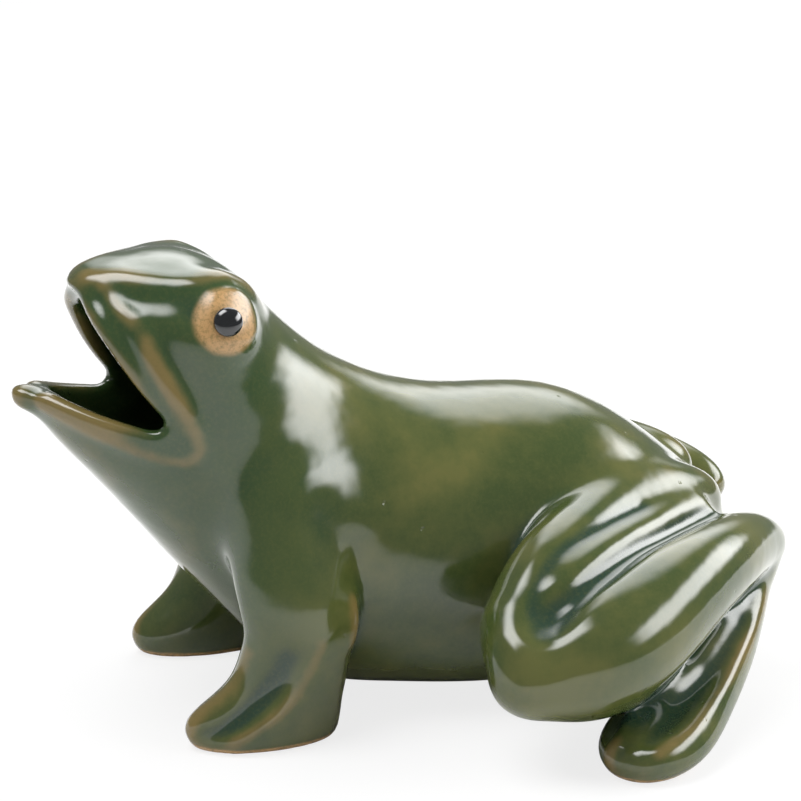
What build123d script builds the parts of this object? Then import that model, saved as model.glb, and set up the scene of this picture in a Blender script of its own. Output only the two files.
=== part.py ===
"""A hollow glazed stoneware frog that sits with its mouth open.

The frog faces -Y and stands on z = 0, with its left side towards +X. The potter casts the
body with the head as one hollow shell and casts the four legs apart, trims each leg to the
flank and joins it there. Each eye is a buff clay mound on the head with a black bead in it.
"""

import math
import os

from build123d import *

# Driving sizes, in millimetres.
FROG_LENGTH = 250.0  # chin tip to the left hock, near enough
SET_BACK = 2.1  # moves the whole frog so that its full length is centred on y = 0
CROWN_HEIGHT = 152.0  # soles to the top of the head
TORSO_WIDTH = 102.0
HEAD_WIDTH = 72.0
BODY_WALL = 6.0
HEAD_TURN = 7.0  # degrees the head is turned to the frog's left
NECK_SHARE = (-0.150, 0)  # the upright line the head turns about

# Body stations from the rump to the muzzle. Each row has the place of the back line and of the
# belly line, as shares of the frog's length and crown height, then the half width as a share of
# the torso's or head's width, the height of the widest point as a share of the oval's height,
# the fullness of the oval above and below that point, where 1 is an ellipse and more is boxier,
# and the share of the head's turn that reaches the oval.
TORSO_STATION_SHARES = (
    (0.452, 0.305, 0.449, 0.235, 0.060, 0.50, 1.00, 1.00, 0),
    (0.440, 0.330, 0.434, 0.180, 0.180, 0.50, 1.00, 1.00, 0),
    (0.412, 0.392, 0.405, 0.105, 0.300, 0.50, 1.00, 1.05, 0),
    (0.362, 0.470, 0.356, 0.046, 0.395, 0.46, 1.05, 1.10, 0),
    (0.290, 0.558, 0.280, 0.016, 0.462, 0.44, 1.05, 1.20, 0),
    (0.200, 0.623, 0.184, 0.008, 0.492, 0.43, 1.05, 1.25, 0),
    (0.088, 0.640, 0.072, 0.008, 0.498, 0.43, 1.05, 1.25, 0),
    (-0.012, 0.672, -0.048, 0.020, 0.474, 0.44, 1.05, 1.10, 0),
    (-0.088, 0.732, -0.144, 0.055, 0.436, 0.45, 1.05, 1.05, 0.1),
)
HEAD_STATION_SHARES = (
    (-0.148, 0.810, -0.232, 0.182, 0.555, 0.47, 1.05, 1.00, 0.4),
    (-0.196, 0.892, -0.306, 0.322, 0.515, 0.50, 1.10, 0.95, 0.8),
    (-0.236, 0.955, -0.372, 0.458, 0.490, 0.52, 1.30, 0.95, 1),
    (-0.290, 0.990, -0.422, 0.556, 0.445, 0.52, 1.45, 0.95, 1),
    (-0.350, 0.990, -0.462, 0.635, 0.345, 0.52, 1.45, 0.95, 1),
    (-0.396, 0.984, -0.490, 0.696, 0.225, 0.52, 1.35, 0.95, 1),
    (-0.423, 0.970, -0.508, 0.720, 0.130, 0.52, 1.15, 0.95, 1),
    (-0.439, 0.950, -0.519, 0.738, 0.055, 0.52, 1.00, 0.95, 1),
)

# The mouth in side view, as shares of the frog's length and crown height: a wedge cut from its
# corner forwards, between the snout's lip and the chin's lip, with a rounded corner.
MOUTH_CORNER_SHARE = (-0.322, 0.650)
SNOUT_LIP_SHARE = (-0.418, 0.940)
CHIN_LIP_SHARE = (-0.513, 0.745)
MOUTH_CORNER_RADIUS = 5.0

# The eyes, before the head is turned.
EYE_ACROSS_SHARE = 0.415  # of the head's width, midline to the eye's base
EYE_PLACE_SHARE = (-0.274, 0.888)
EYE_TURN_FORWARD = 10.0  # degrees forwards of straight sideways
EYE_TURN_UP = 16.0  # degrees up
EYE_MOUND_RADIUS = 10.5
EYE_MOUND_HEIGHT = 5.0
EYE_MOUND_ROOT = 7.0  # how far the mound runs into the head before it is trimmed
PUPIL_RADIUS = 4.5
PUPIL_HEIGHT = 2.4  # how far the bead's dome stands out of its seat
PUPIL_SEAT_DEPTH = 1.6

# The forelegs, stacked from level ovals with the sole first. Each row has the oval's height as
# a share of the crown height, its toe end and heel end as shares of the frog's length, its
# middle as a share of the hand's reach, and its half width as a share of the arm's width.
HAND_INSET = 9.5  # the hand's middle, in from the torso's widest line
ARM_WIDTH = 25.0
FORELEG_STATION_SHARES = (
    (0, -0.312, -0.140, 1.00, 0.42),
    (0.022, -0.324, -0.130, 1.00, 0.48),
    (0.062, -0.320, -0.126, 1.00, 0.50),
    (0.105, -0.290, -0.122, 1.00, 0.50),
    (0.160, -0.262, -0.116, 1.01, 0.49),
    (0.235, -0.250, -0.110, 1.04, 0.50),
    (0.320, -0.256, -0.108, 1.00, 0.52),
    (0.410, -0.256, -0.112, 0.88, 0.50),
    (0.490, -0.244, -0.120, 0.72, 0.44),
    (0.560, -0.226, -0.136, 0.54, 0.34),
    (0.605, -0.190, -0.170, 0.42, 0.10),
)

# The hind legs, folded: thigh forwards to the knee, shank back to the hock, foot forwards and
# outwards to the toes, and the haunch that closes the space between them and the body. Each row has the oval's middle as shares of the knee's reach, the frog's
# length and the crown height, then its half width and half depth as shares of the limb's own.
KNEE_STANDOFF = 37.0  # the knee's middle, out from the torso's widest line
HIND_LEG_STAGGER = 3.0  # how far the right hind leg sits behind the left
THIGH_THICKNESS = 26.0
SHANK_THICKNESS = 35.0
FOOT_WIDTH = 29.0
FOOT_THICKNESS = 18.0
THIGH_STATION_SHARES = (
    (0.150, 0.409, 0.364, 0.08, 0.08),
    (0.190, 0.387, 0.380, 0.33, 0.33),
    (0.250, 0.339, 0.402, 0.43, 0.43),
    (0.360, 0.264, 0.411, 0.48, 0.48),
    (0.570, 0.175, 0.397, 0.49, 0.49),
    (0.780, 0.100, 0.345, 0.50, 0.50),
    (0.900, 0.062, 0.267, 0.48, 0.48),
    (0.950, 0.044, 0.195, 0.08, 0.08),
)
SHANK_STATION_SHARES = (
    (0.990, 0.028, 0.172, 0.08, 0.08),
    (1.005, 0.048, 0.200, 0.32, 0.32),
    (1.010, 0.088, 0.218, 0.47, 0.47),
    (0.975, 0.162, 0.244, 0.57, 0.57),
    (0.865, 0.242, 0.290, 0.52, 0.52),
    (0.705, 0.328, 0.328, 0.40, 0.40),
    (0.460, 0.414, 0.320, 0.32, 0.32),
    (0.355, 0.455, 0.300, 0.24, 0.24),
    (0.285, 0.475, 0.284, 0.08, 0.08),
)
FOOT_STATION_SHARES = (
    (0.280, 0.474, 0.314, 0.08, 0.08),
    (0.345, 0.455, 0.290, 0.27, 0.39),
    (0.490, 0.404, 0.228, 0.36, 0.50),
    (0.695, 0.346, 0.150, 0.45, 0.53),
    (0.885, 0.278, 0.085, 0.56, 0.53),
    (1.040, 0.222, 0.052, 0.60, 0.50),
    (1.140, 0.184, 0.040, 0.46, 0.42),
    (1.195, 0.162, 0.034, 0.08, 0.08),
)
HAUNCH_WIDTH = 38.0
HAUNCH_DEPTH = 34.0
HAUNCH_STATION_SHARES = (
    (0.760, 0.066, 0.250, 0.08, 0.08),
    (0.765, 0.085, 0.258, 0.34, 0.34),
    (0.765, 0.140, 0.275, 0.46, 0.46),
    (0.680, 0.225, 0.292, 0.50, 0.50),
    (0.500, 0.320, 0.300, 0.50, 0.44),
    (0.380, 0.395, 0.295, 0.36, 0.34),
    (0.340, 0.420, 0.290, 0.08, 0.08),
)


# A round half oval as one curve with six control points, for a half width of 1: the length of
# its end handles, how far its middle points stay from the ends, and the sum of the handles and
# of four flank points that puts the curve's middle at the half width.
ROUND_HANDLE = math.pi / 5
ROUND_RISE = math.pi**2 / 20
ROUND_SUM = 32 / 5


def side_point(share, across=0.0):
    """A place given by its shares of the frog's length and crown height."""
    along, height = share
    return Vector(across, along * FROG_LENGTH + SET_BACK, height * CROWN_HEIGHT)


neck_line = Axis(side_point(NECK_SHARE), (0, 0, 1))


def oval_face(plane, half_width, top, bottom, top_fullness=1.0, bottom_fullness=1.0):
    """A smooth oval in two like halves, reaching top above and bottom below the plane's origin.

    Each half is one curve with six control points. A fullness of 1 gives a true oval, and more
    is boxier. The end points' handles set how broad the half starts, the middle two pull it
    out until it passes through the half width.
    """
    top_handle, bottom_handle = ROUND_HANDLE * top_fullness, ROUND_HANDLE * bottom_fullness
    flank = (ROUND_SUM - top_handle - bottom_handle) / 4 * half_width
    right_half = (
        (0, -bottom),
        (bottom_handle * half_width, -bottom),
        (flank, -bottom * (1 - ROUND_RISE / bottom_fullness)),
        (flank, top * (1 - ROUND_RISE / top_fullness)),
        (top_handle * half_width, top),
        (0, top),
    )
    left_half = [(-x, y) for x, y in reversed(right_half)]
    with BuildSketch(plane) as oval:
        with BuildLine():
            Bezier(*right_half)
            Bezier(*left_half)
        make_face()
    return oval.sketch


def body_oval(station, width_unit, inset):
    """One oval across the body, in the plane through its back point and its belly point."""
    width, widest, top_fullness, bottom_fullness, turn = station[4:]
    top, bottom = side_point(station[0:2]), side_point(station[2:4])
    up = (top - bottom).normalized()
    height = (top - bottom).length - 2 * inset
    middle = bottom + up * (inset + height * widest)
    plane = Plane(middle, x_dir=(1, 0, 0), z_dir=Vector(1, 0, 0).cross(up))
    half_width = width * width_unit - inset
    oval = oval_face(plane, half_width, height * (1 - widest), height * widest, top_fullness, bottom_fullness)
    return oval.rotate(neck_line, HEAD_TURN * turn)


def body_form(inset):
    """The body and head with the mouth shut, drawn in by inset on every side."""
    torso, head = TORSO_STATION_SHARES, HEAD_STATION_SHARES
    if inset:
        torso, head = torso[1:], head[:-1]
    ovals = [body_oval(station, TORSO_WIDTH, inset) for station in torso]
    ovals += [body_oval(station, HEAD_WIDTH, inset) for station in head]
    with BuildPart() as form:
        loft(ovals)
    return form.part


def limb_form(stations, across, width, depth):
    """A limb on the left side, lofted through ovals square to the line of its stations."""
    line = [side_point(station[1:3], station[0] * knee_reach) for station in stations]
    ovals = []
    for index, station in enumerate(stations):
        before, after = max(index - 1, 0), min(index + 1, len(line) - 1)
        along = (line[after] - line[before]).normalized()
        square_across = (across - along * across.dot(along)).normalized()
        square_plane = Plane(line[index], x_dir=square_across, z_dir=along)
        ovals.append(oval_face(square_plane, station[3] * width, station[4] * depth, station[4] * depth))
    with BuildPart() as limb:
        loft(ovals)
    return limb.part


torso_half_width = TORSO_WIDTH / 2
body_outside = body_form(0)
body_inside = body_form(BODY_WALL)

with BuildPart() as below_ground:
    with Locations((0, 0, -FROG_LENGTH / 2)):
        Box(2 * FROG_LENGTH, 2 * FROG_LENGTH, FROG_LENGTH)

with BuildPart() as gape:
    corner = side_point(MOUTH_CORNER_SHARE)
    snout = side_point(SNOUT_LIP_SHARE)
    chin = side_point(CHIN_LIP_SHARE)
    ahead = Vector(0, -FROG_LENGTH, 0)
    with BuildSketch(Plane.YZ) as wedge:
        with BuildLine():
            Polyline(*[(p.Y, p.Z) for p in (corner, snout, snout + ahead, chin + ahead, chin)], close=True)
        make_face()
        fillet(wedge.vertices().sort_by(Axis.X)[-1], MOUTH_CORNER_RADIUS)
    extrude(amount=HEAD_WIDTH, both=True)

with BuildPart() as body_shell:
    add(body_outside)
    add(body_inside, mode=Mode.SUBTRACT)
    add(gape.part.rotate(neck_line, HEAD_TURN), mode=Mode.SUBTRACT)
body_shell.part.label = "body_shell"

hand_reach = torso_half_width - HAND_INSET
foreleg_ovals = []
for height, toe, heel, across, width in FORELEG_STATION_SHARES:
    middle = side_point(((toe + heel) / 2, height), across * hand_reach)
    half_length = (heel - toe) * FROG_LENGTH / 2
    foreleg_ovals.append(oval_face(Plane(middle), width * ARM_WIDTH, half_length, half_length))
with BuildPart() as foreleg_form:
    loft(foreleg_ovals)

knee_reach = torso_half_width + KNEE_STANDOFF
foot_start = side_point(FOOT_STATION_SHARES[0][1:3], FOOT_STATION_SHARES[0][0] * knee_reach)
foot_end = side_point(FOOT_STATION_SHARES[-1][1:3], FOOT_STATION_SHARES[-1][0] * knee_reach)
foot_across = (foot_end - foot_start).cross(Vector(0, 0, 1)).normalized()
thigh_form = limb_form(THIGH_STATION_SHARES, Vector(1, 0, 0), THIGH_THICKNESS, THIGH_THICKNESS)
shank_form = limb_form(SHANK_STATION_SHARES, Vector(1, 0, 0), SHANK_THICKNESS, SHANK_THICKNESS)
foot_form = limb_form(FOOT_STATION_SHARES, foot_across, FOOT_WIDTH, FOOT_THICKNESS)
haunch_form = limb_form(HAUNCH_STATION_SHARES, Vector(1, 0, 0), HAUNCH_WIDTH, HAUNCH_DEPTH)

# Each eye is turned about its own line and then set on the head, looking along its gaze.
eye_base = side_point(EYE_PLACE_SHARE, EYE_ACROSS_SHARE * HEAD_WIDTH)
forward, upward = math.radians(EYE_TURN_FORWARD), math.radians(EYE_TURN_UP)
gaze = Vector(math.cos(forward) * math.cos(upward), -math.sin(forward) * math.cos(upward), math.sin(upward))
eye_seat = Plane(eye_base, x_dir=Vector(0, 0, 1).cross(gaze), z_dir=gaze).location
bead_rim = EYE_MOUND_HEIGHT - PUPIL_SEAT_DEPTH / 4
bead_seat = bead_rim - PUPIL_SEAT_DEPTH


def turned_dome(bottom, shoulder, radius, height):
    """A round plug from bottom up to its shoulder, with a dome of the given height on top."""
    ball_radius = (radius**2 + height**2) / (2 * height)
    ball_middle = (0, shoulder + height - ball_radius)
    start = math.degrees(math.asin((ball_radius - height) / ball_radius))
    with BuildPart() as dome:
        with BuildSketch(Plane.XZ):
            with BuildLine():
                Polyline((0, bottom), (radius, bottom), (radius, shoulder))
                CenterArc(ball_middle, ball_radius, start_angle=start, arc_size=90 - start)
                Line((0, shoulder + height), (0, bottom))
            make_face()
        revolve(axis=Axis.Z)
    return dome.part


pupil_form = turned_dome(bead_seat, bead_rim, PUPIL_RADIUS, PUPIL_HEIGHT)
eye_mound_form = turned_dome(-EYE_MOUND_ROOT, 0, EYE_MOUND_RADIUS, EYE_MOUND_HEIGHT) - pupil_form


def mirrored(form, stagger=0.0):
    """The same form on the right side, set back by stagger."""
    return mirror(form, about=Plane.YZ, mode=Mode.PRIVATE).moved(Location((0, stagger, 0)))


pieces = [body_shell.part]
for side in ("left", "right"):
    with BuildPart() as foreleg:
        add(foreleg_form.part if side == "left" else mirrored(foreleg_form.part))
        add(body_outside, mode=Mode.SUBTRACT)
    foreleg.part.label = f"{side}_foreleg"
    leg_forms = [thigh_form, shank_form, foot_form, haunch_form]
    if side == "right":
        leg_forms = [mirrored(form, HIND_LEG_STAGGER) for form in leg_forms]
    leg_forms = [form - body_outside for form in leg_forms]
    with BuildPart() as hind_leg:
        for form in leg_forms:
            add(form)
        add(below_ground.part, mode=Mode.SUBTRACT)
    hind_leg.part.label = f"{side}_hind_leg"
    eye_mound_set, pupil_set = eye_mound_form.moved(eye_seat), pupil_form.moved(eye_seat)
    with BuildPart() as eye_mound:
        add((eye_mound_set if side == "left" else mirrored(eye_mound_set)).rotate(neck_line, HEAD_TURN))
        add(body_outside, mode=Mode.SUBTRACT)
    eye_mound.part.label = f"{side}_eye_mound"
    with BuildPart() as pupil:
        add((pupil_set if side == "left" else mirrored(pupil_set)).rotate(neck_line, HEAD_TURN))
    pupil.part.label = f"{side}_pupil"
    pieces += [foreleg.part, hind_leg.part, eye_mound.part, pupil.part]

os.makedirs("parts", exist_ok=True)
for piece in pieces:
    export_step(piece, f"parts/{piece.label}.step")
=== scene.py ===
"""Glazed stoneware frog figurine, dressed over its fixed frame and laid out as an add-on."""

import math

import bpy
import numpy as np
import openvdb
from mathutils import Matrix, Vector


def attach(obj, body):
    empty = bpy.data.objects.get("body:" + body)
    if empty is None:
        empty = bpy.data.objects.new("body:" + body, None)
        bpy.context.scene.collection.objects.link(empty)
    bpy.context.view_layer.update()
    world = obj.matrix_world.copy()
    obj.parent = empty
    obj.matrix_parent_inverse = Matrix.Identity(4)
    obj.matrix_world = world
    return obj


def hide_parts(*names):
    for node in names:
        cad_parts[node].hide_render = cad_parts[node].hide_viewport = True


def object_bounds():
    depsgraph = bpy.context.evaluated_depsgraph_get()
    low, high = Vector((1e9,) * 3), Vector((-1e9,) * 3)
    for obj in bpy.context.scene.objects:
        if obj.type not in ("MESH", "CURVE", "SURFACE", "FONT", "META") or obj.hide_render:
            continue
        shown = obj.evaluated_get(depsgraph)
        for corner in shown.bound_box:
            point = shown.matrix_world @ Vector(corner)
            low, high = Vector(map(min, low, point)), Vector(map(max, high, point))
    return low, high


bl_info = {
    "name": "Glazed Frog Figurine",
    "version": (1, 0, 0),
    "blender": (4, 5, 0),
    "location": "3D Viewport > Sidebar > Frog",
    "description": "Makes the glazed skin, the eyes and the studio of a ceramic frog",
    "category": "Object",
}

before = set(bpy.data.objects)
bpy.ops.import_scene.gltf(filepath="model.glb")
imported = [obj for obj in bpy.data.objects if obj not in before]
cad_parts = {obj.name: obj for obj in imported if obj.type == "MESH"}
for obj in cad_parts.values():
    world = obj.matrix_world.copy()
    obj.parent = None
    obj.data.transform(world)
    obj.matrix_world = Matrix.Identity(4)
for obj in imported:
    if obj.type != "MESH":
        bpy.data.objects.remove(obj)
cad_low, cad_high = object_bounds()

MM = 0.001
BODY = "root"
SIDES = {"left": 1.0, "right": -1.0}

# The head is turned about an upright line through the neck, and strokes on it are given straight.
NECK_Y = -35.4
HEAD_TURN = math.radians(7.0)
RIGHT_HIND_LEG_BACK = 3.0

# Camera: where the photographer stood, in degrees and millimetres, and the picture's size in pixels.
VIEW_AZIMUTH = 74.0
VIEW_ELEVATION = 19.5
VIEW_DISTANCE = 1050.0
VIEW_CENTRE = (0.0, 2.1, 57.0)
PICTURE_WIDTH = 801.0
PICTURE_CENTRE_DROP = 109.5
MM_PER_PIXEL = 0.325
SENSOR_WIDTH = 36.0

# Soft boxes: name, azimuth and elevation in degrees, distance, width and height in metres, and radiance.
# Their places are an estimate from the highlights on the glaze. They point at this height on the frog.
LAMP_AIM_HEIGHT = 0.06
LAMPS = (
    ("overhead_soft_box", 12.0, 67.0, 1.2, (1.0, 1.0), 8.0),
    ("tail_soft_box", 170.0, 29.0, 1.3, (2.4, 0.65), 8.0),
    ("far_side_glow", -112.0, 42.0, 1.5, (1.4, 1.8), 3.0),
)
# Light from all round, as a share of white, and the share of plain white in the floor for the camera.
ROOM_LIGHT = 0.25
FLOOR_WHITE = 0.8
FLOOR_HALF = 3.0

# How the clay is shaped, in millimetres, given for the left side, and on the head before it is turned.
# Rods are added: each has a blend width and rows of x, y, z and radius.
# Strokes raise the surface (above 0) or press it in: rows of x, y, z, radius and rise.
# The chin is cut off flat in front of this, with its edge rounded.
CHIN_END = -125.8
CHIN_ROUNDING = 3.0
HEAD_RODS = (
    (4.0, ((4, -95, 138, 4), (10, -91, 135, 5), (15, -86, 131, 5), (19, -80, 125, 5), (22, -77, 115, 5))),
    (4.0, ((3, -101.2, 141.0, 3), (8.5, -101.8, 139.0, 3.2), (14.3, -100.8, 134.9, 3.3),
           (19.3, -97.4, 128.2, 3.3), (23.5, -92.8, 120.0, 3.3), (26.0, -88.2, 113.0, 3.2),
           (28.2, -83.4, 106.6, 3.0), (30.5, -80.0, 100.8, 2.8))),
    (3.0, ((0, -121.6, 109.6, 3.6), (0, -117, 107.6, 4.0), (0, -112, 104.5, 4.0))),
    (3.0, ((0, -101, 144.2, 3.4), (2.5, -100.5, 144.2, 3.4))),
)
HEAD_STROKES = (
    (10.0, ((27.5, -65.5, 134, 14, 1.6), (27.0, -67.5, 135, 14, 1.6))),
    (6.0, ((18.5, -70, 146, 6, 0.4), (20.5, -63, 145.5, 7, 1.8), (19.5, -57, 143, 7, 2.4),
           (16, -50, 138.5, 6, 1.0))),
    (7.0, ((13, -98, 142, 9, -0.1), (20, -94, 138, 10, -0.4), (25.5, -90, 132, 11, -1.1),
           (30, -86, 125, 12, -2.0), (33, -81, 117, 12, -1.9), (34.5, -76, 107, 12, -1.4),
           (34, -73, 98, 12, -0.4))),
    (5.0, ((13, -96, 143, 8, -0.1), (18, -89, 142, 9, -0.4), (23, -82, 140, 9, -0.6),
           (27, -76, 137, 9, -0.4))),
    (4.0, ((5.7, -101.6, 146.8, 4, 0.2), (10.9, -93.4, 147.6, 4, 0.4), (17.4, -83.8, 146.9, 4, 0.7),
           (21.2, -76.2, 145.8, 4, 0.9), (22.2, -71.7, 145, 4, 0.8), (20.6, -65, 144.2, 4, 0.5))),
    (4.0, ((10.5, -98.4, 144.6, 3, 0.4), (16.9, -95.6, 138.7, 3, 0.8), (22.5, -92, 132, 3, 1.2),
           (26.3, -89, 125.3, 3, 1.4), (29.2, -85.7, 118.2, 3, 1.4), (30.8, -81.9, 110.9, 3, 1.2),
           (32, -78.6, 103.4, 3, 0.9), (32.4, -76.8, 96.2, 3, 0.5), (31.1, -79.8, 93.1, 3, 0.5),
           (29.2, -84.9, 93.2, 3, 0.6), (26.4, -91, 95.1, 3, 0.8), (23.9, -96.5, 97.6, 3, 0.9),
           (21, -101.9, 100.3, 3, 0.9), (17.2, -107.6, 103.4, 3, 0.8), (12.6, -113, 106.5, 3, 0.6),
           (7.8, -117.8, 108.9, 3, 0.4))),
)
# Clay inside the tail end, where the wall is thin.
TAIL_RODS = (
    (3.0, ((0, 101.5, 23, 5), (13, 99.5, 23, 5), (24, 94, 23, 5))),
    (3.0, ((0, 105.5, 32, 6), (13, 103, 32, 6), (25, 96.5, 32, 6))),
    (3.0, ((0, 107, 41, 6), (13, 104, 41, 6), (25, 97.5, 41, 6))),
    (3.0, ((0, 103, 50, 6), (13, 101, 50, 6), (25, 94, 50, 6))),
)
SHOULDER_RODS = (
    (14.0, ((43, -48, 46, 11), (39, -47, 60, 13), (34, -46, 73, 12), (28, -45, 86, 9))),
)
SHOULDER_STROKES = (
    (10.0, ((39, -57, 72, 15, 0.8), (38, -50, 79, 16, 1.2), (38, -38, 81, 16, 1.2),
            (41, -29, 72, 15, 0.6))),
)
FORELEG_STROKES = (
    (4.0, ((48, -76.5, 6.5, 4.5, -1.5), (52, -69, 9.5, 5, -2.4), (53, -63, 14, 5, -2.6),
           (53, -57.5, 19, 5, -2.2), (53.8, -53, 25, 5, -1.4), (54.5, -50, 32, 5, -0.4))),
    (4.0, ((52.5, -66.5, 6, 3, 0.5), (53.7, -59, 9.5, 3, 0.9), (54.2, -52, 14, 3, 0.9),
           (54.6, -46, 21, 3, 0.7), (54.8, -42, 28, 3, 0.4), (54.5, -39, 36, 3, 0.2))),
    (4.0, ((42, -78, 9, 3.5, 0.7), (44, -71, 17, 4, 1.2), (46, -65, 24, 4, 1.3), (47, -61, 33, 4, 0.6))),
    (3.0, ((48.7, -28, 47, 3.5, 1.2), (49, -27.5, 40, 4, 1.8), (48.5, -28, 33, 3.5, 1.2))),
)
HIND_LEG_RODS = (
    (8.0, ((83, 25, 47, 5), (79, 31, 52, 8), (72, 40, 55.5, 9), (62, 52, 57.5, 9), (52, 64, 58.5, 8.5),
           (43, 76, 59, 8), (34, 89, 58.5, 7.5))),
    (8.0, ((80, 14, 46, 8), (88, 14, 40, 10), (92, 17, 33, 12))),
)
HIND_LEG_STROKES = (
    (4.0, ((94.5, 21.5, 49.3, 8, -1.0), (91.1, 26.3, 52.1, 7.5, -2.0), (88, 30.5, 54.5, 6, -2.0),
           (84.5, 37, 58, 4.5, -1.9), (79, 46, 60.3, 4, -1.8), (72.6, 54.8, 61.5, 3.5, -1.6),
           (65.3, 64.1, 62, 3.2, -1.5), (58, 72.7, 61.9, 3, -1.5), (48.9, 83.6, 61.7, 3, -1.2),
           (41, 93, 61.5, 3, -0.4))),
    (3.0, ((87.5, 18.3, 52.6, 3, -0.1), (84.3, 19.9, 55.7, 3, -0.4), (80.4, 23.1, 59.8, 3, -0.6),
           (76.8, 27.1, 62.9, 3, -0.7), (73.4, 31.4, 65.2, 3, -0.7), (70.1, 36.7, 66.7, 3, -0.7),
           (66.5, 42.5, 67.5, 3, -0.6), (61, 50.3, 68.1, 3, -0.5), (54.4, 59.3, 68.3, 3, -0.4),
           (47.7, 68.4, 68.1, 3, -0.2))),
    (6.0, ((85.2, 61.1, 19, 6, 0.6), (80.7, 68, 21.4, 6, 1.6), (76, 75, 24.5, 6, 2.2),
           (71.3, 81.4, 27.6, 6, 2.4), (66.1, 87.3, 31, 6, 2.0), (60, 93, 36, 6, 1.2))),
    (4.0, ((64, 96, 33, 5, -0.2), (71.9, 87.5, 28.2, 6, -0.4), (81.2, 77.4, 22.9, 7, -0.5),
           (89.3, 67.8, 18.9, 7, -0.6), (98.7, 57.8, 15.6, 6, -0.5), (104, 52, 12.5, 5, -0.5))),
    (3.5, ((79, 73, 24, 3, 0.3), (82.7, 64.9, 20.2, 4, 1.4), (84.6, 58, 18.1, 3, 0.8),
           (87.9, 52, 16.1, 3, 0.8), (97.5, 43.1, 12.5, 3, 0.8), (100, 40, 6, 3, 0.4))),
    (4.0, ((50.8, 109.2, 37.6, 3, 0.3), (58.2, 104.7, 33, 3, 0.7), (66, 98.9, 29.4, 3, 0.9),
           (75.5, 90.6, 24.9, 3, 1.0), (83.5, 83.2, 20.8, 3, 1.0), (92.8, 74, 16.9, 3, 1.0),
           (102, 64.7, 13.8, 3, 1.0), (107, 53, 10, 3, 0.4))),
    (3.0, ((102.5, 43.5, 9.5, 3, -0.6), (101.5, 41.5, 7, 3, -0.8))),
)
# Middle of the left eye, and how far its mound stands out of the head.
EYE = (32.5, -66.6, 136.3)
EYE_RISE = 1.2
# Rows of a bead's sheet, from -0.5 to 0.5, where its seat meets the wall and the wall meets the dome.
BEAD_RIM_ROW = -0.3
BEAD_WALL_ROW = -0.2
BEAD_TURNS = 97
BEAD_RINGS = 61
# How far a limb's skin is sunk, so that it hides in the body's skin where both would lie in one surface.
SKIN_GAP = 0.01
# A mesh with more triangles than this is thinned.
MOST_TRIANGLES = 185000
# Strokes no wider than this mark the glaze, fully where they rise or sink that far.
MARK_WIDTH = 12.5
MARK_RISE = 0.7
# How slowly bare clay gives way to glaze, away from an eye's middle and up from the soles.
EYE_BARE = 9.0
SOLE_BARE = 3.0
# Thick glaze starts at this y, is full that much further forward, and grows up to that height.
THICK_START = -20.0
THICK_RUN = 45.0
THICK_HEIGHT = 60.0


def linear(code):
    """An sRGB hex colour as linear red, green, blue and alpha."""
    values = [int(code[i:i + 2], 16) / 255.0 for i in (1, 3, 5)]
    return tuple(v / 12.92 if v <= 0.04045 else ((v + 0.055) / 1.055) ** 2.4 for v in values) + (1.0,)


def colour_property(name, description, code):
    """A colour whose default is given as sRGB hex."""
    return bpy.props.FloatVectorProperty(
        name=name, description=description, default=linear(code),
        subtype="COLOR", size=4, min=0.0, max=1.0,
    )


def length_property(name, description, value):
    """A length in metres whose default is given in millimetres."""
    return bpy.props.FloatProperty(
        name=name, description=description, default=value * MM, min=0.0, unit="LENGTH", precision=5
    )


class FrogSizes(bpy.types.PropertyGroup):
    """Sizes of the modelling in the clay and the glaze over it."""

    grain: length_property("Grain", "Spacing of the modelling grid", 1.15)
    reach: length_property("Reach", "How far from the clay the modelling works", 9.0)
    fillet: length_property("Fillet", "Width of the slip and glaze in the joint between two pieces", 8.0)
    soften: bpy.props.IntProperty(
        name="Soften", description="Times the glaze softens the clay's edges", default=3
    )
    pupil_radius: length_property("Pupil radius", "Radius of the black bead", 4.5)
    pupil_wall: length_property("Pupil wall", "Depth of the bead in its seat", 1.6)
    pupil_dome: length_property("Pupil dome", "Height of the bead's dome", 2.4)


class GlazeColours(bpy.types.PropertyGroup):
    """Colours of the glazes and the clay."""

    moss: colour_property("Moss", "Glaze of common thickness", "#3a4823")
    olive: colour_property("Olive", "Glaze a little thinner", "#585b2f")
    deep: colour_property("Deep", "Glaze run thick on the head and chest", "#2c4425")
    pool: colour_property("Pool", "Glaze pooled in hollows", "#15332c")
    ochre: colour_property("Ochre", "Glaze worn thin on ridges", "#806c40")
    buff: colour_property("Buff", "Bare fired clay", "#b6905f")
    black: colour_property("Black", "Glaze of the pupils", "#08090b")
    iron: colour_property("Iron", "Paler clouds in the glaze of the pupils", "#15181c")
    floor: colour_property("Floor", "Studio floor", "#f2f2f2")


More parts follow.
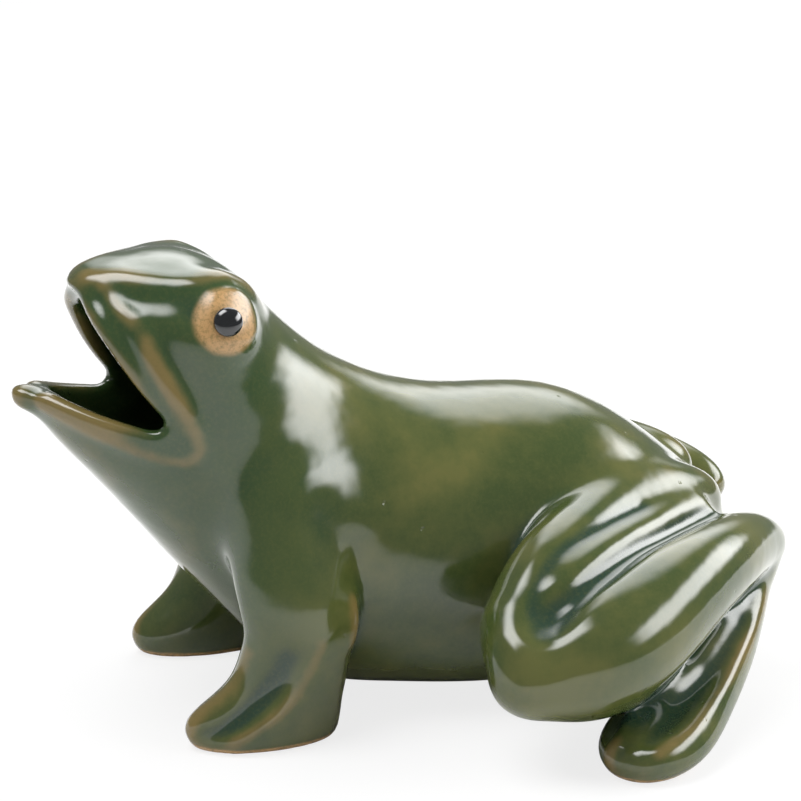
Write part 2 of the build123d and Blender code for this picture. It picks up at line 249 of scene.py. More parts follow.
class Grid:
    """The modelling grid, in millimetres. A field on it is the distance to the clay, below 0 inside."""

    def __init__(self, low, high, step):
        self.step = step
        self.first = np.floor(np.array(low) / step).astype(int)
        last = np.ceil(np.array(high) / step).astype(int)
        self.shape = tuple(int(n) for n in last - self.first + 1)
        self.low = self.first * step

    def axes(self, window=None):
        """The places of the grid points along x, y and z, in a window or in all of the grid."""
        window = window or tuple(slice(0, n) for n in self.shape)
        return [
            (self.low[a] + self.step * np.arange(window[a].start, window[a].stop)).astype(np.float32)
            for a in range(3)
        ]

    def window(self, low, high):
        """The slices of the grid that hold a box."""
        start = np.clip(np.floor((np.array(low) - self.low) / self.step).astype(int), 0, self.shape)
        stop = np.clip(np.ceil((np.array(high) - self.low) / self.step).astype(int) + 1, 0, self.shape)
        return tuple(slice(int(a), int(b)) for a, b in zip(start, stop))

    def sample(self, field, points):
        """Values of a field at points, between its grid points."""
        place = (np.asarray(points, float) - self.low) / self.step
        place = np.clip(place, 0.0, np.array(self.shape) - 1.001)
        cell = place.astype(int)
        part = place - cell
        total = np.zeros(len(place))
        for corner in range(8):
            shift = np.array([corner & 1, corner >> 1 & 1, corner >> 2 & 1])
            share = np.prod(np.where(shift, part, 1.0 - part), axis=1)
            i, j, k = (cell + shift).T
            total += share * field[i, j, k]
        return total

    def slope(self, field, points):
        """Unit gradient of a field at points: the way out of the clay."""
        points = np.asarray(points, float)
        out = np.zeros_like(points)
        for a in range(3):
            shift = np.zeros(3)
            shift[a] = self.step
            out[:, a] = self.sample(field, points + shift) - self.sample(field, points - shift)
        return out / np.maximum(np.linalg.norm(out, axis=1, keepdims=True), 1e-9)


def distances(grid, node, reach):
    """Signed distances to a node of the frame, cut off at the reach."""
    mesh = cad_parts[node].data
    points = np.zeros(len(mesh.vertices) * 3, np.float32)
    mesh.vertices.foreach_get("co", points)
    mesh.calc_loop_triangles()
    triangles = np.zeros(len(mesh.loop_triangles) * 3, np.int32)
    mesh.loop_triangles.foreach_get("vertices", triangles)
    levels = openvdb.FloatGrid.createLevelSetFromPolygons(
        points.reshape(-1, 3) / MM,
        triangles=triangles.reshape(-1, 3).astype(np.uint32),
        transform=openvdb.createLinearTransform(voxelSize=grid.step),
        halfWidth=reach / grid.step,
    )
    field = np.zeros(grid.shape, np.float32)
    levels.copyToArray(field, ijk=tuple(int(n) for n in grid.first))
    return field


def softened(field, times):
    """Each value averaged with its neighbours along each axis."""
    for _ in range(times):
        for axis in range(3):
            padded = np.concatenate([field.take([0], axis), field, field.take([-1], axis)], axis)
            n = field.shape[axis]
            low = padded.take(range(0, n), axis)
            high = padded.take(range(2, n + 2), axis)
            field = (low + high + 2.0 * field) / 4.0
    return field.astype(np.float32)


def joined(a, b, width):
    """Union of two forms with a fillet of that width where they meet."""
    near = np.maximum(width - np.abs(a - b), 0.0) / width
    return np.minimum(a, b) - near ** 3 * (width / 6.0)


def cut(a, b, width):
    """a without b, with the edge rounded over that width."""
    return -joined(-a, b, width)


def smooth_path(points, pieces=6):
    """A smooth line through given rows of x, y, z and a radius."""
    rows = np.array(points, float)
    rows = np.vstack([2 * rows[0] - rows[1], rows, 2 * rows[-1] - rows[-2]])
    out = []
    for i in range(1, len(rows) - 2):
        p0, p1, p2, p3 = rows[i - 1:i + 3]
        for t in np.arange(pieces) / pieces:
            out.append(
                0.5 * (2 * p1 + (p2 - p0) * t + (2 * p0 - 5 * p1 + 4 * p2 - p3) * t * t
                       + (3 * p1 - p0 - 3 * p2 + p3) * t ** 3)
            )
    out.append(rows[-2])
    return np.array(out)


def stroke(grid, path, margin):
    """Signed distances to a bent rod along a path, in the window of the grid round it."""
    low = path[:, :3].min(0) - path[:, 3].max() - margin
    high = path[:, :3].max(0) + path[:, 3].max() + margin
    window = grid.window(low, high)
    x, y, z = np.meshgrid(*grid.axes(window), indexing="ij")
    place = np.stack([x, y, z], -1)
    nearest = np.full(x.shape, 1e3, np.float32)
    for start, end in zip(path[:-1], path[1:]):
        run = end[:3] - start[:3]
        first, step = start[:3].astype(np.float32), run.astype(np.float32)
        along = ((place - first) @ step) / max(float(run @ run), 1e-9)
        along = np.clip(along, 0.0, 1.0)
        gap = np.linalg.norm(place - first - along[..., None] * step, axis=-1)
        np.minimum(nearest, gap - (start[3] + (end[3] - start[3]) * along), out=nearest)
    return window, nearest


def model(grid, field, rows, blend):
    """Works the clay along a line, and gives that line back as it lies on the surface.

    Each row has x, y, z, a radius and how far to raise (above 0) or press.
    """
    path = smooth_path(rows)
    for _ in range(4):
        gap = grid.sample(field, path[:, :3])
        path[:, :3] -= gap[:, None] * grid.slope(field, path[:, :3])
    line = path.copy()
    out = grid.slope(field, path[:, :3])
    raised = path[:, 4].mean() > 0.0
    lift = np.abs(path[:, 4]) - path[:, 3]
    path[:, :3] += out * (lift if raised else -lift)[:, None]
    window, rod = stroke(grid, path[:, :4], blend)
    field[window] = joined(field[window], rod, blend) if raised else cut(field[window], rod, blend)
    return line


def on_head(rows, side, back=0.0):
    """Rows given on the left of the straight head, on the side asked for of the turned one."""
    rows = np.array(rows, float)
    x = rows[:, 0] * side
    y = rows[:, 1] + back - NECK_Y
    out = rows.copy()
    out[:, 0] = x * math.cos(HEAD_TURN) - y * math.sin(HEAD_TURN)
    out[:, 1] = x * math.sin(HEAD_TURN) + y * math.cos(HEAD_TURN) + NECK_Y
    return out


def on_side(rows, side, back=0.0):
    """Rows given for the left side, on the side asked for."""
    out = np.array(rows, float)
    out[:, 0] *= side
    out[:, 1] += back
    return out


def thinned(obj, triangles):
    """The object's mesh, with edges collapsed where it has too many triangles."""
    mesh = obj.data
    if triangles <= MOST_TRIANGLES:
        return mesh
    thin = obj.modifiers.new("thin", "DECIMATE")
    thin.ratio = MOST_TRIANGLES / triangles
    evaluated = obj.evaluated_get(bpy.context.evaluated_depsgraph_get())
    obj.data = bpy.data.meshes.new_from_object(evaluated)
    obj.modifiers.remove(thin)
    name = mesh.name
    bpy.data.meshes.remove(mesh)
    obj.data.name = name
    return obj.data


def mesh_of(grid, field, name):
    """The closed surface of a field as an object, with its vertices set on the surface."""
    levels = openvdb.FloatGrid(float(field.max()))
    levels.copyFromArray(field, ijk=tuple(int(n) for n in grid.first))
    levels.transform = openvdb.createLinearTransform(voxelSize=grid.step)
    points, quads = levels.convertToQuads(0.0)
    if len(quads) == 0:
        raise RuntimeError(f"{name} came out empty")
    mesh = bpy.data.meshes.new(name)
    mesh.vertices.add(len(points))
    mesh.vertices.foreach_set("co", (points * MM).astype(np.float32).ravel())
    mesh.loops.add(len(quads) * 4)
    mesh.loops.foreach_set("vertex_index", quads.astype(np.int32).ravel())
    mesh.polygons.add(len(quads))
    mesh.polygons.foreach_set("loop_start", np.arange(0, len(quads) * 4, 4, dtype=np.int32))
    mesh.polygons.foreach_set("use_smooth", np.ones(len(quads), bool))
    mesh.update(calc_edges=True)
    mesh.validate()
    obj = bpy.data.objects.new(name, mesh)
    bpy.context.scene.collection.objects.link(obj)
    mesh = thinned(obj, 2 * len(quads))
    points = np.zeros(len(mesh.vertices) * 3, np.float32)
    mesh.vertices.foreach_get("co", points)
    points = points.reshape(-1, 3).astype(float) / MM
    for _ in range(2):
        gap = grid.sample(field, points)
        points -= np.clip(gap, -0.5 * grid.step, 0.5 * grid.step)[:, None] * grid.slope(field, points)
    mesh.vertices.foreach_set("co", (points * MM).astype(np.float32).ravel())
    mesh.update()
    return obj, points


class Clay:
    """The modelled frog: one field for each piece and the fired, glazed whole."""

    made = None

    def __init__(self, sizes):
        step = sizes.grain / MM
        self.fillet = sizes.fillet / MM
        margin = 2.0 * step
        self.grid = Grid(np.array(cad_low) / MM - margin, np.array(cad_high) / MM + margin, step)
        self.fields = {}
        self.ridge = np.zeros(self.grid.shape, np.float32)
        self.furrow = np.zeros(self.grid.shape, np.float32)
        names = ["body_shell"]
        for side in SIDES:
            names += [f"{side}_foreleg", f"{side}_hind_leg", f"{side}_eye_mound"]
        for name in names:
            self.fields[name] = distances(self.grid, name, sizes.reach / MM)
        self.shape_clay()
        for name in names:
            self.fields[name] = softened(self.fields[name], sizes.soften)
            if "eye" in name:
                self.fields[name] = np.maximum(self.fields[name], self.fields["body_shell"] - EYE_RISE)
        whole = self.fields["body_shell"].copy()
        for name in names[1:]:
            whole = joined(whole, self.fields[name], self.joint(name))
        self.whole = whole
        # Above 0 where the surface bulges and below 0 where it is hollow.
        self.bend = softened(whole, 6) - whole

    def joint(self, name):
        """Width of the fillet round a piece, half as wide round an eye as round a leg."""
        return self.fillet if "leg" in name else 0.5 * self.fillet

    def shape_clay(self):
        """Works every rod and stroke into the piece it belongs to."""
        ahead = CHIN_END - self.grid.axes()[1][None, :, None]
        self.fields["body_shell"] = cut(
            self.fields["body_shell"], -np.broadcast_to(ahead, self.grid.shape), CHIN_ROUNDING
        )
        for side, sign in SIDES.items():
            back = RIGHT_HIND_LEG_BACK if side == "right" else 0.0
            for name, rods, strokes, place in (
                ("body_shell", HEAD_RODS, HEAD_STROKES, on_head),
                ("body_shell", SHOULDER_RODS + TAIL_RODS, SHOULDER_STROKES, on_side),
                (f"{side}_foreleg", (), FORELEG_STROKES, on_side),
                (f"{side}_hind_leg", HIND_LEG_RODS, HIND_LEG_STROKES, on_side),
            ):
                move = back if "hind" in name else 0.0
                field = self.fields[name]
                for blend, rows in rods:
                    window, rod = stroke(self.grid, smooth_path(place(rows, sign, move)), blend)
                    field[window] = joined(field[window], rod, blend)
                for blend, rows in strokes:
                    path = model(self.grid, field, place(rows, sign, move), blend)
                    mark = self.ridge if path[:, 4].mean() > 0.0 else self.furrow
                    width = path[:, 3].mean()
                    if width <= MARK_WIDTH:
                        path[:, 3] = 0.0
                        window, away = stroke(self.grid, path[:, :4], 2.5 * width)
                        strength = min(1.0, np.abs(path[:, 4]).mean() / MARK_RISE)
                        mark[window] = np.maximum(mark[window], strength * np.exp(-(away / width) ** 2))

    @classmethod
    def of(cls, sizes):
        """The one modelled frog, made when the first piece asks for it."""
        if cls.made is None:
            cls.made = cls(sizes)
        return cls.made

    def piece(self, covered, name):
        """The skin of one piece. A limb takes the fillet with it and ends inside the body's wall."""
        field = self.fields[covered]
        if covered != "body_shell":
            field = np.maximum(self.whole + SKIN_GAP, field - self.joint(covered))
        obj, points = mesh_of(self.grid, field, name)
        own = self.grid.slope(field, points)
        shared = self.grid.slope(self.whole, points)
        near = (np.abs(self.grid.sample(self.whole, points)) < 0.1)[:, None]
        normals = np.where(near, shared, own)
        obj.data.normals_split_custom_set_from_vertices(normals.astype(np.float32))
        eye = np.full(len(points), 1e3)
        for sign in SIDES.values():
            eye = np.minimum(eye, np.linalg.norm(points - on_head([EYE], sign)[0], axis=1))
        bare = np.maximum(1.6 - eye / EYE_BARE, 1.2 - points[:, 2] / SOLE_BARE)
        forward = np.clip((THICK_START - points[:, 1]) / THICK_RUN, 0.0, 1.0)
        thick = forward * np.clip(points[:, 2] / THICK_HEIGHT, 0.0, 1.0)
        ridge = self.grid.sample(self.ridge, points)
        furrow = self.grid.sample(self.furrow, points)
        for key, value in (("bend", self.grid.sample(self.bend, points)), ("bare", bare), ("thick", thick),
                           ("ridge", ridge), ("furrow", furrow)):
            made = obj.data.attributes.new(key, "FLOAT", "POINT")
            made.data.foreach_set("value", value.astype(np.float32))
        return obj


def node(tree, kind, links=None, **settings):
    """Adds a node: settings by attribute, links as {input: socket or value}."""
    made = tree.nodes.new(kind)
    for key, value in settings.items():
        setattr(made, key, value)
    for key, value in (links or {}).items():
        if isinstance(value, bpy.types.NodeSocket):
            tree.links.new(value, made.inputs[key])
        else:
            made.inputs[key].default_value = value
    return made


def new_material(name):
    """An empty node material and its tree."""
    material = bpy.data.materials.new(name)
    material.use_nodes = True
    tree = material.node_tree
    tree.nodes.clear()
    return material, tree


def glaze_material(colours):
    """Wood ash green glaze on stoneware, dipped and fired glossy.

    Thick glaze pools dark blue green in hollows and thins to ochre on ridges, under a clear wet gloss.
    Clouds of 30 mm drift through it, and it lies in ripples of 17 mm. Pinholes, 0.6 mm wide at the
    bottom, 1.7 mm at the rim and some 14 mm apart, show where gas left the clay. The clay's grit is
    under 0.5 mm and too fine to show, so it is drawn 1 mm wide.
    """
    if "green_ash_glaze" in bpy.data.materials:
        return bpy.data.materials["green_ash_glaze"]
    material, tree = new_material("green_ash_glaze")
    place = node(tree, "ShaderNodeTexCoord").outputs["Object"]
    bend = node(tree, "ShaderNodeAttribute", attribute_name="bend").outputs["Fac"]
    bare = node(tree, "ShaderNodeAttribute", attribute_name="bare").outputs["Fac"]
    thick = node(tree, "ShaderNodeAttribute", attribute_name="thick").outputs["Fac"]
    ridge = node(tree, "ShaderNodeAttribute", attribute_name="ridge").outputs["Fac"]
    furrow = node(tree, "ShaderNodeAttribute", attribute_name="furrow").outputs["Fac"]
    cloud = node(tree, "ShaderNodeTexNoise",
                 {"Vector": place, "Scale": 32.0, "Detail": 6.0, "Roughness": 0.62}).outputs["Fac"]
    speck = node(tree, "ShaderNodeTexNoise",
                 {"Vector": place, "Scale": 900.0, "Detail": 2.0, "Roughness": 0.7}).outputs["Fac"]
    # The common glaze drifts from moss to olive, and runs deeper green on the head and chest.
    drift = node(tree, "ShaderNodeMapRange",
                 {"Value": cloud, "From Min": 0.38, "From Max": 0.64}).outputs["Result"]
    common = node(tree, "ShaderNodeMix", {0: drift, 6: colours.moss, 7: colours.olive},
                  data_type="RGBA").outputs[2]
    shade = node(tree, "ShaderNodeMapRange", {"Value": thick, "To Max": 0.8},
                 interpolation_type="SMOOTHSTEP").outputs["Result"]
    deeper = node(tree, "ShaderNodeMix", {0: shade, 6: common, 7: colours.deep},
                  data_type="RGBA").outputs[2]
    # It pools in furrows and hollows.
    hollow = node(tree, "ShaderNodeMath", {0: furrow, 1: -0.2, 2: bend}, operation="MULTIPLY_ADD").outputs[0]
    pooled = node(tree, "ShaderNodeMapRange",
                  {"Value": hollow, "From Min": 0.1, "From Max": -0.4, "To Max": 0.8},
                  interpolation_type="SMOOTHSTEP").outputs["Result"]
    pool = node(tree, "ShaderNodeMix", {0: pooled, 6: deeper, 7: colours.pool},
                data_type="RGBA").outputs[2]
    # It is thin on ridges and edges, broken up by the clouds.
    high = node(tree, "ShaderNodeMath", {0: ridge, 1: 0.42, 2: bend}, operation="MULTIPLY_ADD").outputs[0]
    wander = node(tree, "ShaderNodeMath", {0: cloud, 1: high}, operation="ADD").outputs[0]
    worn = node(tree, "ShaderNodeMapRange",
                {"Value": wander, "From Min": 0.82, "From Max": 1.4, "To Max": 0.8},
                interpolation_type="SMOOTHSTEP").outputs["Result"]
    thin = node(tree, "ShaderNodeMix", {0: worn, 6: pool, 7: colours.ochre}, data_type="RGBA").outputs[2]
    # Grit shows a little through the glaze, and fully in the bare clay.
    grit = node(tree, "ShaderNodeMapRange",
                {"Value": speck, "From Min": 0.45, "From Max": 0.75}).outputs["Result"]
    gritty = node(tree, "ShaderNodeMix", {0: grit, 6: thin, 7: colours.olive},
                  data_type="RGBA").outputs[2]
    grain = node(tree, "ShaderNodeMix", {0: 0.25, 6: thin, 7: gritty}, data_type="RGBA").outputs[2]
    edge = node(tree, "ShaderNodeMath", {0: cloud, 1: 0.5, 2: bare}, operation="MULTIPLY_ADD").outputs[0]
    naked = node(tree, "ShaderNodeMapRange", {"Value": edge, "From Min": 0.55, "From Max": 0.9},
                 interpolation_type="SMOOTHSTEP").outputs["Result"]
    clay = node(tree, "ShaderNodeMix", {0: grit, 6: colours.buff, 7: colours.ochre},
                data_type="RGBA").outputs[2]
    colour = node(tree, "ShaderNodeMix", {0: naked, 6: grain, 7: clay}, data_type="RGBA").outputs[2]
    dull = node(tree, "ShaderNodeMapRange",
                {"Value": naked, "To Min": 0.13, "To Max": 0.32}).outputs["Result"]
    # Ripples in the glaze, and pinholes over them.
    ripple = node(tree, "ShaderNodeTexNoise", {"Vector": place, "Scale": 60.0, "Detail": 2.0}).outputs["Fac"]
    skin = node(tree, "ShaderNodeBump",
                {"Height": ripple, "Strength": 0.5, "Distance": 0.0011}).outputs["Normal"]
    holes = node(tree, "ShaderNodeTexVoronoi", {"Vector": place, "Scale": 70.0}).outputs["Distance"]
    pits = node(tree, "ShaderNodeMapRange",
                {"Value": holes, "From Min": 0.02, "From Max": 0.06}).outputs["Result"]
    pitted = node(tree, "ShaderNodeBump",
                  {"Height": pits, "Strength": 0.5, "Distance": 0.0004, "Normal": skin}).outputs["Normal"]
    shader = node(tree, "ShaderNodeBsdfPrincipled",
                  {"Base Color": colour, "Roughness": dull, "IOR": 1.5, "Coat Weight": 0.4,
                   "Coat Roughness": 0.05, "Normal": pitted})
    node(tree, "ShaderNodeOutputMaterial", {"Surface": shader.outputs["BSDF"]})
    return material


def black_material(colours):
    """Black iron glaze of the pupils, glossy as wet glass."""
    if "black_iron_glaze" in bpy.data.materials:
        return bpy.data.materials["black_iron_glaze"]
    material, tree = new_material("black_iron_glaze")
    place = node(tree, "ShaderNodeTexCoord").outputs["Object"]
    cloud = node(tree, "ShaderNodeTexNoise", {"Vector": place, "Scale": 300.0, "Detail": 2.0})
    tint = node(tree, "ShaderNodeMix", {0: cloud.outputs["Fac"], 6: colours.black, 7: colours.iron},
                data_type="RGBA").outputs[2]
    shader = node(tree, "ShaderNodeBsdfPrincipled",
                  {"Base Color": tint, "Roughness": 0.06, "IOR": 1.5, "Coat Weight": 1.0,
                   "Coat Roughness": 0.02})
    node(tree, "ShaderNodeOutputMaterial", {"Surface": shader.outputs["BSDF"]})
    return material


def finish_piece(obj, material, nodes):
    """Glazes a piece and hands it to the frame in place of its CAD nodes."""
    obj.data.materials.clear()
    obj.data.materials.append(material)
    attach(obj, BODY)
    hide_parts(*nodes)


class FROG_OT_body(bpy.types.Operator):
    """Makes the glazed skin of the torso and head."""

    bl_idname = "frog.body"
    bl_label = "Body"

    def execute(self, context):
        clay = Clay.of(context.scene.frog_sizes)
        obj = clay.piece("body_shell", "body_skin")
        finish_piece(obj, glaze_material(context.scene.frog_colours), ["body_shell"])
        return {"FINISHED"}


class FROG_OT_forelegs(bpy.types.Operator):
    """Makes the two glazed forelegs."""

    bl_idname = "frog.forelegs"
    bl_label = "Forelegs"

    def execute(self, context):
        clay = Clay.of(context.scene.frog_sizes)
        for side in SIDES:
            obj = clay.piece(f"{side}_foreleg", f"{side}_foreleg_skin")
            glaze = glaze_material(context.scene.frog_colours)
            finish_piece(obj, glaze, [f"{side}_foreleg"])
        return {"FINISHED"}


class FROG_OT_hind_legs(bpy.types.Operator):
    """Makes the two glazed, folded hind legs."""

    bl_idname = "frog.hind_legs"
    bl_label = "Hind legs"

    def execute(self, context):
        clay = Clay.of(context.scene.frog_sizes)
        for side in SIDES:
            obj = clay.piece(f"{side}_hind_leg", f"{side}_hind_leg_skin")
            glaze = glaze_material(context.scene.frog_colours)
            finish_piece(obj, glaze, [f"{side}_hind_leg"])
        return {"FINISHED"}


def bead_tree():
    """Geometry nodes of a bead turned round its axis: a flat seat, a short wall and a dome.

    A flat sheet is bent into the bead. Its columns go round the axis, and its rows run from the
    middle of the seat to the rim, up the wall and over the dome. Equal points are then merged.
    """
    tree = bpy.data.node_groups.new("bead", "GeometryNodeTree")
    sockets = tree.interface
    sockets.new_socket("Geometry", in_out="INPUT", socket_type="NodeSocketGeometry")
    for name, kind in (("Radius", "Float"), ("Wall", "Float"), ("Dome", "Float"), ("Turns", "Int"),
                       ("Rings", "Int"), ("Place", "Vector"), ("Lean", "Rotation"),
                       ("Material", "Material")):
        sockets.new_socket(name, in_out="INPUT", socket_type="NodeSocket" + kind)
    sockets.new_socket("Geometry", in_out="OUTPUT", socket_type="NodeSocketGeometry")
    given = node(tree, "NodeGroupInput").outputs
    sheet = node(tree, "GeometryNodeMeshGrid",
                 {"Vertices X": given["Turns"], "Vertices Y": given["Rings"]}).outputs["Mesh"]
    spot = node(tree, "GeometryNodeInputPosition").outputs[0]
    spot = node(tree, "ShaderNodeSeparateXYZ", {0: spot}).outputs
    angle = node(tree, "ShaderNodeMath", {0: spot["X"], 1: math.tau}, operation="MULTIPLY").outputs[0]
    seat = node(tree, "ShaderNodeMapRange",
                {"Value": spot["Y"], "From Min": -0.5, "From Max": BEAD_RIM_ROW}).outputs[0]
    rise = node(tree, "ShaderNodeMapRange",
                {"Value": spot["Y"], "From Min": BEAD_RIM_ROW, "From Max": BEAD_WALL_ROW}).outputs[0]
    bow = node(tree, "ShaderNodeMapRange",
               {"Value": spot["Y"], "From Min": BEAD_WALL_ROW, "From Max": 0.5,
                "To Max": 0.5 * math.pi}).outputs[0]
    inward = node(tree, "ShaderNodeMath", {0: bow}, operation="COSINE").outputs[0]
    upward = node(tree, "ShaderNodeMath", {0: bow}, operation="SINE").outputs[0]
    share = node(tree, "ShaderNodeMath", {0: seat, 1: inward}, operation="MULTIPLY").outputs[0]
    reach = node(tree, "ShaderNodeMath", {0: share, 1: given["Radius"]}, operation="MULTIPLY").outputs[0]
    across = node(tree, "ShaderNodeMath", {0: angle}, operation="COSINE").outputs[0]
    along = node(tree, "ShaderNodeMath", {0: angle}, operation="SINE").outputs[0]
    x = node(tree, "ShaderNodeMath", {0: reach, 1: across}, operation="MULTIPLY").outputs[0]
    y = node(tree, "ShaderNodeMath", {0: reach, 1: along}, operation="MULTIPLY").outputs[0]
    wall = node(tree, "ShaderNodeMath", {0: rise, 1: given["Wall"]}, operation="MULTIPLY").outputs[0]
    z = node(tree, "ShaderNodeMath", {0: upward, 1: given["Dome"], 2: wall},
             operation="MULTIPLY_ADD").outputs[0]
    turned = node(tree, "ShaderNodeCombineXYZ", {0: x, 1: y, 2: z}).outputs[0]
    form = node(tree, "GeometryNodeSetPosition", {"Geometry": sheet, "Position": turned}).outputs[0]
    closed = node(tree, "GeometryNodeMergeByDistance", {"Geometry": form, "Distance": 1e-6}).outputs[0]
    smooth = node(tree, "GeometryNodeSetShadeSmooth", {"Geometry": closed}).outputs[0]
    placed = node(tree, "GeometryNodeTransform",
                  {"Geometry": smooth, "Translation": given["Place"],
                   "Rotation": given["Lean"]}).outputs[0]
    real = node(tree, "GeometryNodeRealizeInstances", {"Geometry": placed}).outputs[0]
    glazed = node(tree, "GeometryNodeSetMaterial",
                  {"Geometry": real, "Material": given["Material"]}).outputs[0]
    node(tree, "NodeGroupOutput", {"Geometry": glazed})
    return tree


def grown(name, tree, values):
    """The plain mesh object that a tree of geometry nodes makes with these inputs."""
    start = bpy.data.objects.new(name + "_start", bpy.data.meshes.new(name + "_start"))
    bpy.context.scene.collection.objects.link(start)
    growth = start.modifiers.new("growth", "NODES")
    growth.node_group = tree
    keys = {item.name: item.identifier for item in tree.interface.items_tree if item.in_out == "INPUT"}
    for key, value in values.items():
        growth[keys[key]] = value
    result = start.evaluated_get(bpy.context.evaluated_depsgraph_get())
    obj = bpy.data.objects.new(name, bpy.data.meshes.new_from_object(result))
    bpy.data.objects.remove(start)
    if len(obj.data.polygons) == 0:
        raise RuntimeError(f"{name} came out empty")
    bpy.context.scene.collection.objects.link(obj)
    return obj


def seat_of(name):
    """Middle and outward direction of the flat seat of a bead in the frame."""
    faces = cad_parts[name].data.polygons
    areas = {}
    for face in faces:
        key = tuple(round(v, 2) for v in face.normal)
        areas[key] = areas.get(key, 0.0) + face.area
    flat = max(areas, key=areas.get)
    seat = [face for face in faces if tuple(round(v, 2) for v in face.normal) == flat]
    total = sum(face.area for face in seat)
    middle = sum((face.center * face.area for face in seat), Vector()) / total
    return middle, -Vector(flat).normalized()


class FROG_OT_eyes(bpy.types.Operator):
    """Makes the buff mounds round the eyes and the black beads of the pupils."""

    bl_idname = "frog.eyes"
    bl_label = "Eyes"

    def execute(self, context):
        sizes = context.scene.frog_sizes
        colours = context.scene.frog_colours
        clay = Clay.of(sizes)
        tree = bead_tree()
        black = black_material(colours)
        for side in SIDES:
            obj = clay.piece(f"{side}_eye_mound", f"{side}_eye_ring")
            finish_piece(obj, glaze_material(colours), [f"{side}_eye_mound"])
            middle, way = seat_of(f"{side}_pupil")
            bead = grown(f"{side}_pupil_bead", tree, {
                "Radius": sizes.pupil_radius, "Wall": sizes.pupil_wall, "Dome": sizes.pupil_dome,
                "Turns": BEAD_TURNS, "Rings": BEAD_RINGS, "Place": middle,
                "Lean": way.to_track_quat("Z", "Y").to_euler(), "Material": black,
            })
            finish_piece(bead, black, [f"{side}_pupil"])
        return {"FINISHED"}


def towards(azimuth, elevation):
    """The way from the frog in that direction, in degrees, and what is up when looking back along it."""
    turn, tilt = math.radians(azimuth), math.radians(elevation)
    way = Vector((math.sin(turn) * math.cos(tilt), -math.cos(turn) * math.cos(tilt), math.sin(tilt)))
    up = Vector((-math.sin(turn) * math.sin(tilt), math.cos(turn) * math.sin(tilt), math.cos(tilt)))
    return way, up


def add_lamp(name, azimuth, elevation, distance, size, radiance):
    """A soft box in that direction of the frog, whose glow falls off towards its edges."""
    lamp = bpy.data.lights.new(name, "AREA")
    lamp.shape = "RECTANGLE"
    lamp.size, lamp.size_y = size
    lamp.energy = radiance * math.pi * size[0] * size[1]
    lamp.use_nodes = True
    tree = lamp.node_tree
    tree.nodes.clear()
    place = node(tree, "ShaderNodeNewGeometry").outputs["Parametric"]
    middle = node(tree, "ShaderNodeVectorMath", {0: place, 1: (0.5, 0.5, 0.0)},
                  operation="SUBTRACT").outputs[0]
    parts = node(tree, "ShaderNodeSeparateXYZ", {0: middle})
    glow = 1.0
    for axis in ("X", "Y"):
        away = node(tree, "ShaderNodeMath", {0: parts.outputs[axis]}, operation="ABSOLUTE").outputs[0]
        fall = node(tree, "ShaderNodeMapRange", {"Value": away, "From Min": 0.5, "From Max": 0.2},
                    interpolation_type="SMOOTHSTEP").outputs[0]
        glow = node(tree, "ShaderNodeMath", {0: glow, 1: fall}, operation="MULTIPLY").outputs[0]
    shine = node(tree, "ShaderNodeEmission", {"Color": (1, 1, 1, 1), "Strength": glow})
    node(tree, "ShaderNodeOutputLight", {"Surface": shine.outputs[0]})
    obj = bpy.data.objects.new(name, lamp)
    way, _ = towards(azimuth, elevation)
    obj.location = way * distance + Vector((0, 0, LAMP_AIM_HEIGHT))
    obj.rotation_mode = "QUATERNION"
    obj.rotation_quaternion = (-way).to_track_quat("-Z", "Y")
    bpy.context.scene.collection.objects.link(obj)


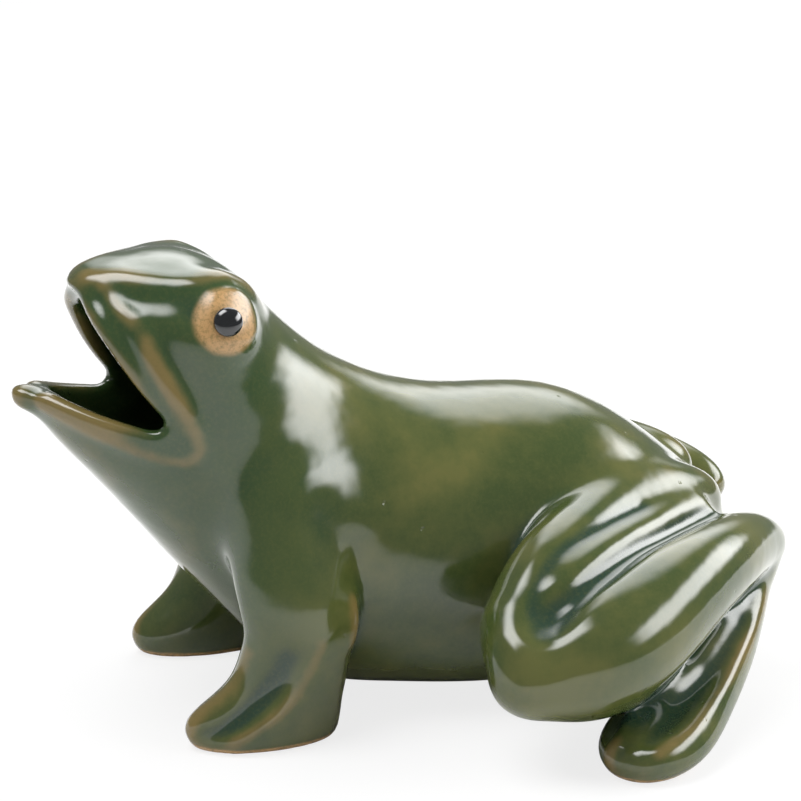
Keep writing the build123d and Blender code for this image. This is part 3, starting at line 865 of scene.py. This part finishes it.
class FROG_OT_stage(bpy.types.Operator):
    """Makes the floor, the soft lamps and the camera at the photograph's angle."""

    bl_idname = "frog.stage"
    bl_label = "Stage"

    def execute(self, context):
        scene = context.scene
        colours = scene.frog_colours
        mesh = bpy.data.meshes.new("floor")
        corners = [(x * FLOOR_HALF, y * FLOOR_HALF, 0.0) for x, y in ((-1, -1), (1, -1), (1, 1), (-1, 1))]
        mesh.from_pydata(corners, [], [(0, 1, 2, 3)])
        floor = bpy.data.objects.new("floor", mesh)
        scene.collection.objects.link(floor)
        material, tree = new_material("studio_floor")
        path = node(tree, "ShaderNodeLightPath").outputs["Is Camera Ray"]
        share = node(tree, "ShaderNodeMath", {0: path, 1: FLOOR_WHITE}, operation="MULTIPLY").outputs[0]
        matt = node(tree, "ShaderNodeBsdfDiffuse", {"Color": tuple(colours.floor)})
        glow = node(tree, "ShaderNodeEmission", {"Color": (1, 1, 1, 1), "Strength": 1.0})
        both = node(tree, "ShaderNodeMixShader", {0: share, 1: matt.outputs[0], 2: glow.outputs[0]})
        node(tree, "ShaderNodeOutputMaterial", {"Surface": both.outputs[0]})
        mesh.materials.append(material)

        world = bpy.data.worlds.new("studio")
        scene.world = world
        world.use_nodes = True
        tree = world.node_tree
        tree.nodes.clear()
        path = node(tree, "ShaderNodeLightPath").outputs["Is Camera Ray"]
        strength = node(tree, "ShaderNodeMapRange",
                        {"Value": path, "To Min": ROOM_LIGHT, "To Max": 1.0}).outputs[0]
        back = node(tree, "ShaderNodeBackground", {"Color": (1, 1, 1, 1), "Strength": strength})
        node(tree, "ShaderNodeOutputWorld", {"Surface": back.outputs[0]})

        for lamp in LAMPS:
            add_lamp(*lamp)

        back, up = towards(VIEW_AZIMUTH, VIEW_ELEVATION)
        centre = Vector(VIEW_CENTRE)
        eye = centre + back * VIEW_DISTANCE
        aim = centre + up * (PICTURE_CENTRE_DROP * MM_PER_PIXEL)
        data = bpy.data.cameras.new("camera")
        data.sensor_width = SENSOR_WIDTH
        data.lens = SENSOR_WIDTH * VIEW_DISTANCE / (MM_PER_PIXEL * PICTURE_WIDTH)
        data.clip_start = 0.05
        data.clip_end = 20.0
        camera = bpy.data.objects.new("camera", data)
        camera.location = eye * MM
        camera.rotation_mode = "QUATERNION"
        camera.rotation_quaternion = (aim - eye).to_track_quat("-Z", "Y")
        scene.collection.objects.link(camera)
        scene.camera = camera
        scene.view_settings.view_transform = "Standard"
        return {"FINISHED"}


class FROG_PT_panel(bpy.types.Panel):
    """Lists the steps that make the frog."""

    bl_idname = "FROG_PT_panel"
    bl_label = "Frog"
    bl_space_type = "VIEW_3D"
    bl_region_type = "UI"
    bl_category = "Frog"

    def draw(self, context):
        layout = self.layout
        for key in FrogSizes.__annotations__:
            layout.prop(context.scene.frog_sizes, key)
        for key in GlazeColours.__annotations__:
            layout.prop(context.scene.frog_colours, key)
        for step in STEPS:
            layout.operator(step.bl_idname)


STEPS = (FROG_OT_body, FROG_OT_forelegs, FROG_OT_hind_legs, FROG_OT_eyes, FROG_OT_stage)
CLASSES = (FrogSizes, GlazeColours) + STEPS + (FROG_PT_panel,)


def register():
    for item in CLASSES:
        bpy.utils.register_class(item)
    bpy.types.Scene.frog_sizes = bpy.props.PointerProperty(type=FrogSizes)
    bpy.types.Scene.frog_colours = bpy.props.PointerProperty(type=GlazeColours)


def unregister():
    del bpy.types.Scene.frog_colours
    del bpy.types.Scene.frog_sizes
    for item in reversed(CLASSES):
        bpy.utils.unregister_class(item)


def main():
    register()
    bpy.ops.frog.stage()
    bpy.ops.frog.body()
    bpy.ops.frog.forelegs()
    bpy.ops.frog.hind_legs()
    bpy.ops.frog.eyes()


if __name__ == "__main__":
    main()
